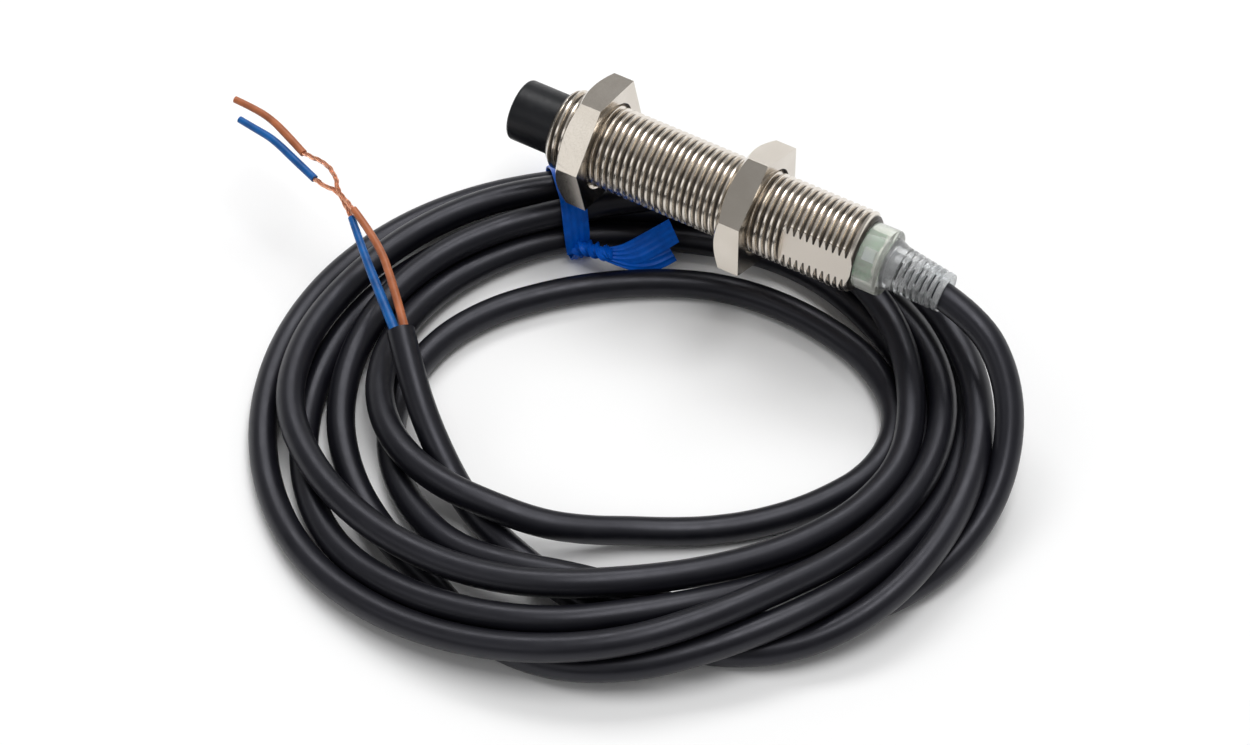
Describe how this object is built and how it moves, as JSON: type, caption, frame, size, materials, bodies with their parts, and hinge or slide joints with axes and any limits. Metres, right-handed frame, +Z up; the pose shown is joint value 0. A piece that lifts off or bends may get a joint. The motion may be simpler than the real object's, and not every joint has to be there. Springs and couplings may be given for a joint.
{
  "type": "proximity sensor",
  "caption": "Cylindrical threaded inductive proximity sensor with a stepped cap, jam nuts, a translucent rear cover and a tied coil of cable ending in bare wires.",
  "frame": {"origin": "centre of the sensing face", "axes": "+X along the barrel from the sensing face to the cable, +Z up; the cable lies on the plane z = -0.0195 m"},
  "size_m": [0.1257, 0.0956, 0.0293],
  "materials": {
    "nickel_thread": "bright nickel plate on brass",
    "nickel_nut": "satin nickel plate on brass",
    "black_cap": "satin black moulding",
    "milky_cover": "translucent, slightly green",
    "clear_relief": "translucent, greyish",
    "cable_black": "satin black PVC",
    "tie_blue": "ribbed blue film",
    "wire_brown": "brown insulation",
    "wire_blue": "blue insulation",
    "copper": "bare copper",
    "steel": "plain steel",
    "ferrite": "sintered, matt",
    "bobbin_white": "natural nylon",
    "board_green": "solder mask",
    "chip_black": "moulded package",
    "ceramic": "ceramic chip",
    "led_clear": "milky lens",
    "solder": "solder",
    "resin": "potting resin"
  },
  "bodies": {
    "sensor": {"barrel": "nickel_thread", "sensing_cap": "black_cap", "ferrite_core": "ferrite", "coil_bobbin": "bobbin_white", "coil_winding": "copper", "winding_leads": "copper", "core_holder": "bobbin_white", "circuit_board": "board_green", "oscillator_chip": "chip_black", "output_transistor": "chip_black", "suppression_diode": "chip_black", "chip_resistors": "chip_black", "chip_capacitors": "ceramic", "indicator_led": "led_clear", "solder_joints": "solder", "brown_core_inside": "wire_brown", "blue_core_inside": "wire_blue", "potting_resin": "resin", "rear_cover": "milky_cover", "strain_relief": "clear_relief", "clamp_ring": "steel", "cable_exit": "cable_black", "cable_coil": "cable_black", "cable_tail": "cable_black", "twist_tie": "tie_blue", "tie_wire": "steel", "brown_lead": "wire_brown", "blue_lead": "wire_blue", "brown_strands": "copper", "blue_strands": "copper", "brown_slug": "wire_brown", "blue_slug": "wire_blue"},
    "front_nut": {"front_nut": "nickel_nut"},
    "rear_nut": {"rear_nut": "nickel_nut"}
  },
  "joints": [
    {"name": "front_nut_travel", "type": "slide", "parent": "sensor", "child": "front_nut", "axis": [1, 0, 0], "range_m": [-0.0034, 0.0103]},
    {"name": "rear_nut_travel", "type": "slide", "parent": "sensor", "child": "rear_nut", "axis": [1, 0, 0], "range_m": [-0.0103, 0.0155]}
  ]
}
